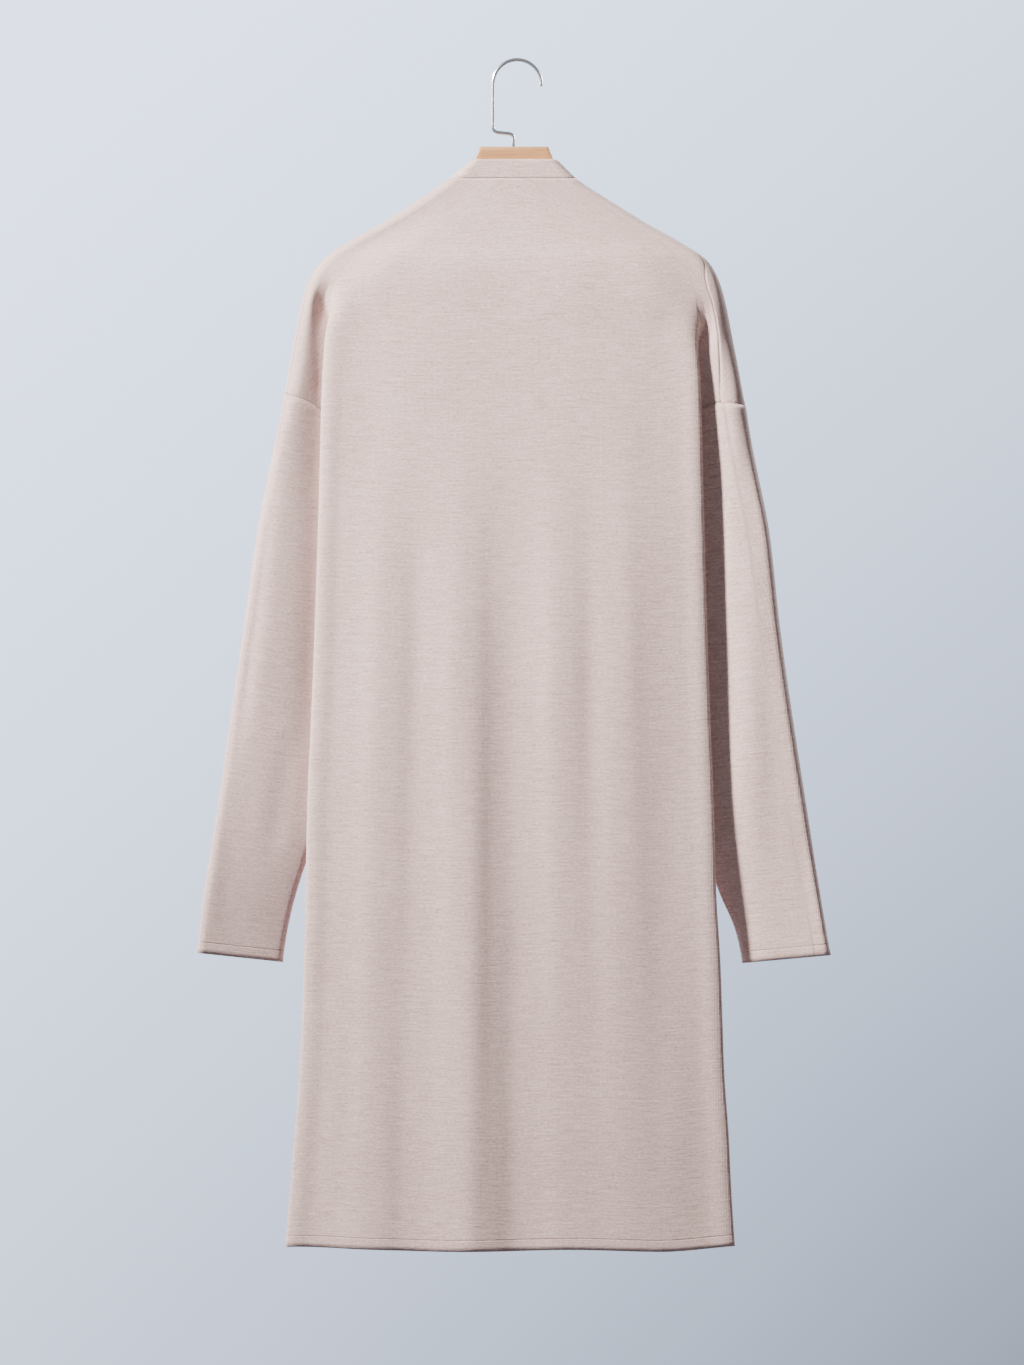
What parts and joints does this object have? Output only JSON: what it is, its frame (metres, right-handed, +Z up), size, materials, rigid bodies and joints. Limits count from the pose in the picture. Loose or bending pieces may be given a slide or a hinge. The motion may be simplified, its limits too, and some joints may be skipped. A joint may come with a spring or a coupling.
{
  "type": "tunic cardigan on a wooden hanger",
  "caption": "Long open-front knit cardigan with drop shoulders, long sleeves and a narrow self band, hung on a flat wooden hanger with a cranked wire hook",
  "frame": {"origin": "inside top of the hanger's hook, where it rests on a rail", "axes": "+Z up; +X to the wearer's right, which is the picture's right because the back is shown; +Y towards the garment's front, away from the picture's camera"},
  "size_m": [0.5942, 0.0546, 1.1209],
  "materials": {
    "knit": "fine heathered oatmeal knit",
    "wood": "pale lacquered wood",
    "chrome": "polished wire"
  },
  "bodies": {
    "root": {"back": "knit", "front_left": "knit", "front_right": "knit", "sleeve_left": "knit", "sleeve_right": "knit", "neck_band": "knit", "hanger_wood": "wood", "hanger_hook": "chrome"}
  },
  "joints": []
}
